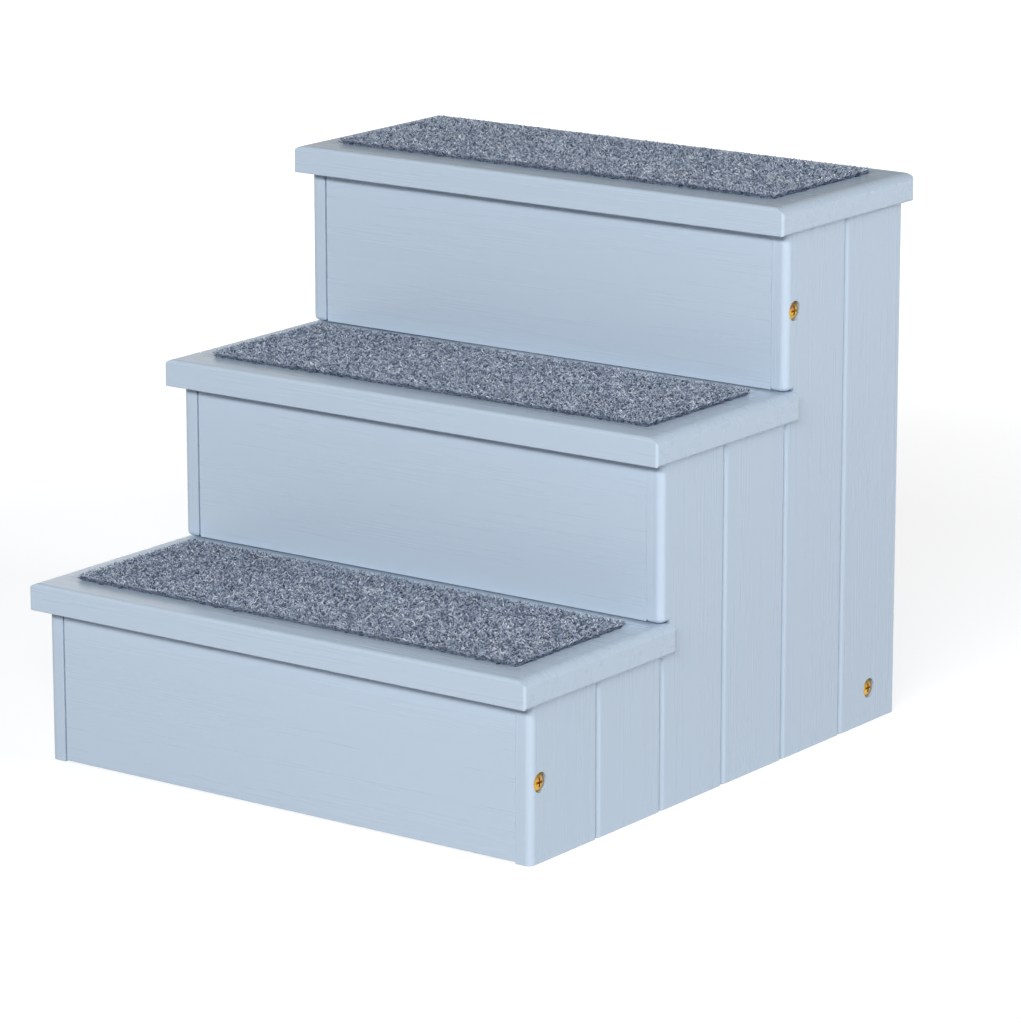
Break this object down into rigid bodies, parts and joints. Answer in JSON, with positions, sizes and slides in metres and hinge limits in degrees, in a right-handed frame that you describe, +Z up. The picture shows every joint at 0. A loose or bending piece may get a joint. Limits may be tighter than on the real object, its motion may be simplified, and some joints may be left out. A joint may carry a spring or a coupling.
{
  "type": "pet stairs",
  "caption": "Free-standing pet steps: painted box stairs with tongue-and-groove sides, an open back and a carpet on each tread.",
  "frame": {"origin": "on the floor, below the middle of the outline of the treads", "axes": "+X to the right seen from the front, +Y from the front nose to the rear, +Z up"},
  "size_m": [0.405, 0.445, 0.38],
  "materials": {
    "painted_wood": "satin pale blue-grey paint over solid wood",
    "carpet": "mottled blue-grey needle-felt carpet with a short fuzzy pile",
    "bolt_steel": "yellow zinc plated steel",
    "dowel_wood": "bare beech",
    "screw_steel": "bright zinc plated steel"
  },
  "bodies": {
    "root": {"barrel_nuts": "bolt_steel", "bottom_carpet": "carpet", "bottom_riser": "painted_wood", "bottom_tread": "painted_wood", "cleat_screws": "screw_steel", "connector_bolts": "bolt_steel", "dowels": "dowel_wood", "left_board_1": "painted_wood", "left_board_2": "painted_wood", "left_board_3": "painted_wood", "left_board_4": "painted_wood", "left_board_5": "painted_wood", "left_board_6": "painted_wood", "left_bottom_cleat": "painted_wood", "left_middle_cleat": "painted_wood", "left_top_cleat": "painted_wood", "middle_carpet": "carpet", "middle_riser": "painted_wood", "middle_tread": "painted_wood", "rear_rail": "painted_wood", "right_board_1": "painted_wood", "right_board_2": "painted_wood", "right_board_3": "painted_wood", "right_board_4": "painted_wood", "right_board_5": "painted_wood", "right_board_6": "painted_wood", "right_bottom_cleat": "painted_wood", "right_middle_cleat": "painted_wood", "right_top_cleat": "painted_wood", "top_carpet": "carpet", "top_riser": "painted_wood", "top_tread": "painted_wood", "tread_screws": "screw_steel"}
  },
  "joints": []
}
